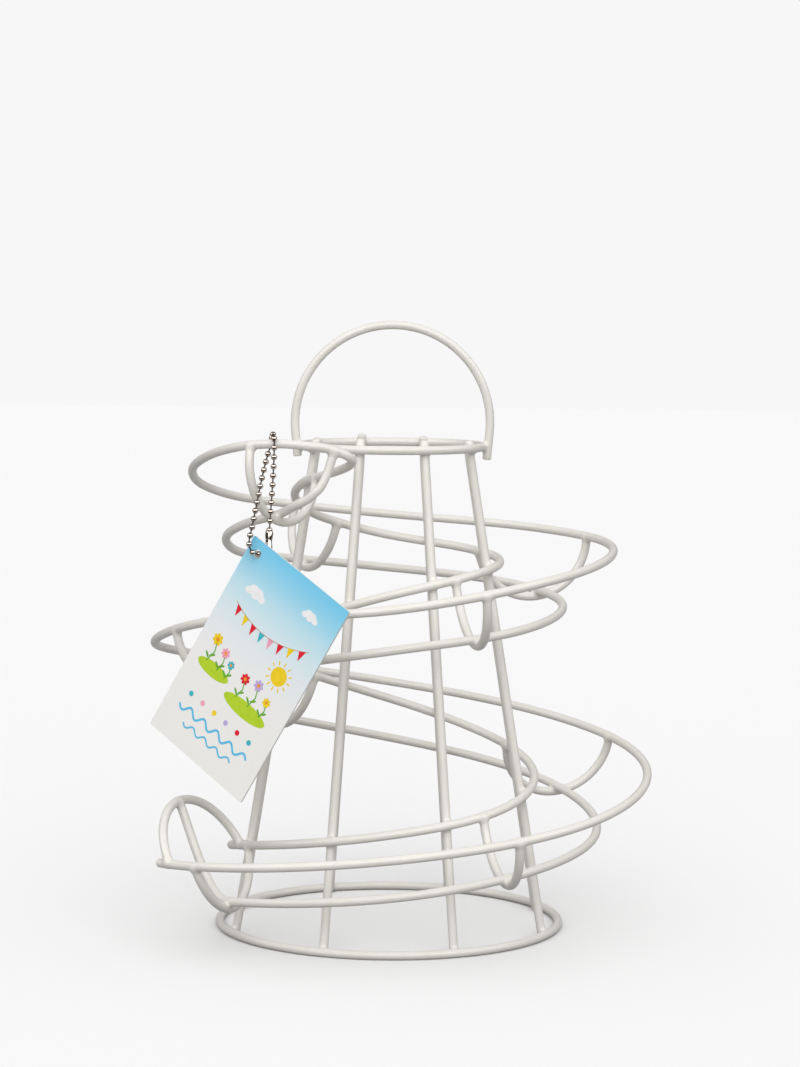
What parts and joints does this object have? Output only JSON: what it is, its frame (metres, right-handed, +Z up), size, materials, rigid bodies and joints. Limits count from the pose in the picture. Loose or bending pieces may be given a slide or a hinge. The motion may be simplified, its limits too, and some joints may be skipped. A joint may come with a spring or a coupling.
{
  "type": "spiral egg dispenser rack",
  "caption": "Open conical wire rack with a spiral track that stores eggs and rolls them down to an end stop; carry handle and hang tag.",
  "frame": {"origin": "middle of the footprint box, on the table", "axes": "+Z up along the tower, -Y towards the front where the track's upper and lower ends are"},
  "size_m": [0.216, 0.2236, 0.261],
  "materials": {
    "base_ring": "semi-gloss cream powder coat",
    "bottom_rail": "semi-gloss cream powder coat",
    "carry_handle": "semi-gloss cream powder coat",
    "cradle_1": "semi-gloss cream powder coat",
    "cradle_2": "semi-gloss cream powder coat",
    "cradle_3": "semi-gloss cream powder coat",
    "cradle_4": "semi-gloss cream powder coat",
    "cradle_5": "semi-gloss cream powder coat",
    "cradle_6": "semi-gloss cream powder coat",
    "cradle_7": "semi-gloss cream powder coat",
    "cradle_8": "semi-gloss cream powder coat",
    "cradle_9": "semi-gloss cream powder coat",
    "end_stop_arch": "semi-gloss cream powder coat",
    "inner_rail": "semi-gloss cream powder coat",
    "outer_rail": "semi-gloss cream powder coat",
    "top_ring": "semi-gloss cream powder coat",
    "upright_1": "semi-gloss cream powder coat",
    "upright_2": "semi-gloss cream powder coat",
    "upright_3": "semi-gloss cream powder coat",
    "upright_4": "semi-gloss cream powder coat",
    "upright_5": "semi-gloss cream powder coat",
    "upright_6": "semi-gloss cream powder coat",
    "upright_7": "semi-gloss cream powder coat",
    "upright_8": "semi-gloss cream powder coat",
    "ball_chain": "bright nickel plate",
    "chain_clasp": "bright nickel plate",
    "hang_tag": "coated card, printed"
  },
  "bodies": {
    "frame": {"base_ring": "base_ring", "bottom_rail": "bottom_rail", "carry_handle": "carry_handle", "cradle_1": "cradle_1", "cradle_2": "cradle_2", "cradle_3": "cradle_3", "cradle_4": "cradle_4", "cradle_5": "cradle_5", "cradle_6": "cradle_6", "cradle_7": "cradle_7", "cradle_8": "cradle_8", "cradle_9": "cradle_9", "end_stop_arch": "end_stop_arch", "inner_rail": "inner_rail", "outer_rail": "outer_rail", "top_ring": "top_ring", "upright_1": "upright_1", "upright_2": "upright_2", "upright_3": "upright_3", "upright_4": "upright_4", "upright_5": "upright_5", "upright_6": "upright_6", "upright_7": "upright_7", "upright_8": "upright_8"},
    "chain": {"ball_chain": "ball_chain", "chain_clasp": "chain_clasp"},
    "tag": {"hang_tag": "hang_tag"}
  },
  "joints": [
    {"name": "chain_swing", "type": "hinge", "parent": "frame", "child": "chain", "pos_m": [-0.05387, -0.05977, 0.21058], "axis": [-0.9645, 0.2615, -0.0379], "range_deg": [0, 60]},
    {"name": "tag_swing", "type": "hinge", "parent": "chain", "child": "tag", "pos_m": [-0.05829, -0.07832, 0.16717], "axis": [-0.5454, -0.8303, 0.1149], "range_deg": [-30, 30]}
  ]
}
